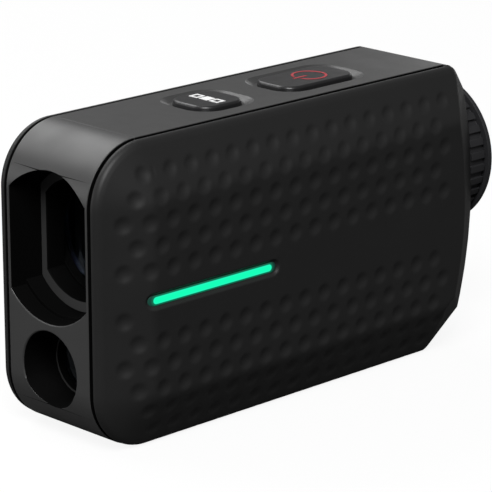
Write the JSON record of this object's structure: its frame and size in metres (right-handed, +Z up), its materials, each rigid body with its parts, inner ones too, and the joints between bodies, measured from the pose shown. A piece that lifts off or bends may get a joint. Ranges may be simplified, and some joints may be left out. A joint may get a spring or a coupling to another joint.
{
  "type": "laser rangefinder",
  "caption": "Palm-size monocular laser rangefinder with a ribbed dioptre ring, side light bar, top buttons and a hinged charging-port cover.",
  "frame": {"origin": "middle of the underside, under the centre of the bounding box", "axes": "+Y runs from the lenses back to the eyepiece, +Z is up, +X is the left side as the user holds it"},
  "size_m": [0.0334, 0.098, 0.0544],
  "materials": {
    "soft_black": "satin",
    "shell_black": "matte",
    "button_black": "matte",
    "metal_black": "satin",
    "glass": "gloss",
    "steel": "satin",
    "weight_metal": "satin",
    "board": "satin",
    "chip": "matte",
    "plunger_grey": "matte",
    "light_green": "gloss",
    "led_white": "satin",
    "cell_blue": "satin",
    "print_white": "matte",
    "print_red": "matte"
  },
  "bodies": {
    "housing": {"battery_cell": "cell_blue", "bezel_screws": "steel", "board_chips": "chip", "bottom_plate": "shell_black", "button_board": "board", "chassis": "shell_black", "display_holder": "shell_black", "display_panel": "glass", "eyepiece_tube": "shell_black", "front_bezel": "shell_black", "laser_board": "board", "laser_diode": "steel", "laser_lens": "glass", "laser_lock_ring": "metal_black", "laser_tube": "metal_black", "left_grip_cover": "soft_black", "left_side_shell": "shell_black", "light_bar": "light_green", "light_board": "board", "light_leds": "led_white", "main_board": "board", "mode_switch": "chip", "objective_barrel": "metal_black", "objective_front_lens": "glass", "objective_hood": "metal_black", "objective_lock_ring": "metal_black", "objective_rear_lens": "glass", "penta_prism": "glass", "port_cover_pin": "steel", "power_switch": "chip", "prism_housing": "shell_black", "rear_cover": "shell_black", "rear_seal": "soft_black", "receiver_board": "board", "receiver_diode": "steel", "right_grip_cover": "soft_black", "right_side_shell": "shell_black", "roof_prism": "glass", "shell_screws": "steel", "top_plate": "shell_black", "tube_screws": "steel", "usb_board": "board", "usb_socket": "steel", "vibration_motor": "steel"},
    "mode_button": {"mode_button": "button_black", "mode_symbol": "print_white", "mode_plunger": "plunger_grey"},
    "power_button": {"power_button": "button_black", "power_symbol": "print_red", "power_plunger": "plunger_grey"},
    "diopter_ring": {"diopter_ring": "shell_black", "eyecup_rim": "soft_black"},
    "ocular_cell": {"ocular_cell": "shell_black", "field_lens": "glass", "lens_spacer": "metal_black", "eye_lens": "glass", "ocular_lock_ring": "metal_black"},
    "port_cover": {"port_cover": "shell_black"},
    "vibration_weight": {"vibration_weight": "weight_metal"}
  },
  "joints": [
    {"name": "mode_press", "type": "slide", "parent": "housing", "child": "mode_button", "axis": [0, 0, -1], "range_m": [0, 0.00045], "stiffness_N_per_m": 600},
    {"name": "power_press", "type": "slide", "parent": "housing", "child": "power_button", "axis": [0, 0, -1], "range_m": [0, 0.00045], "stiffness_N_per_m": 600},
    {"name": "diopter_turn", "type": "hinge", "parent": "housing", "child": "diopter_ring", "pos_m": [0, 0.0455, 0.0347], "axis": [0, 1, 0], "range_deg": [-120, 120]},
    {"name": "ocular_focus", "type": "slide", "parent": "housing", "child": "ocular_cell", "axis": [0, 1, 0], "range_m": [-0.0012, 0.0012]},
    {"name": "port_cover_hinge", "type": "hinge", "parent": "housing", "child": "port_cover", "pos_m": [0, 0.04225, 0.0093], "axis": [-1, 0, 0], "range_deg": [0, 90]},
    {"name": "vibration_spin", "type": "hinge", "parent": "housing", "child": "vibration_weight", "pos_m": [0, 0.0142, 0.0194], "axis": [0, 1, 0], "continuous": true}
  ],
  "couplings": [
    {"joint": "ocular_focus", "follows": "diopter_turn", "m_per_rad": 0.00057}
  ]
}
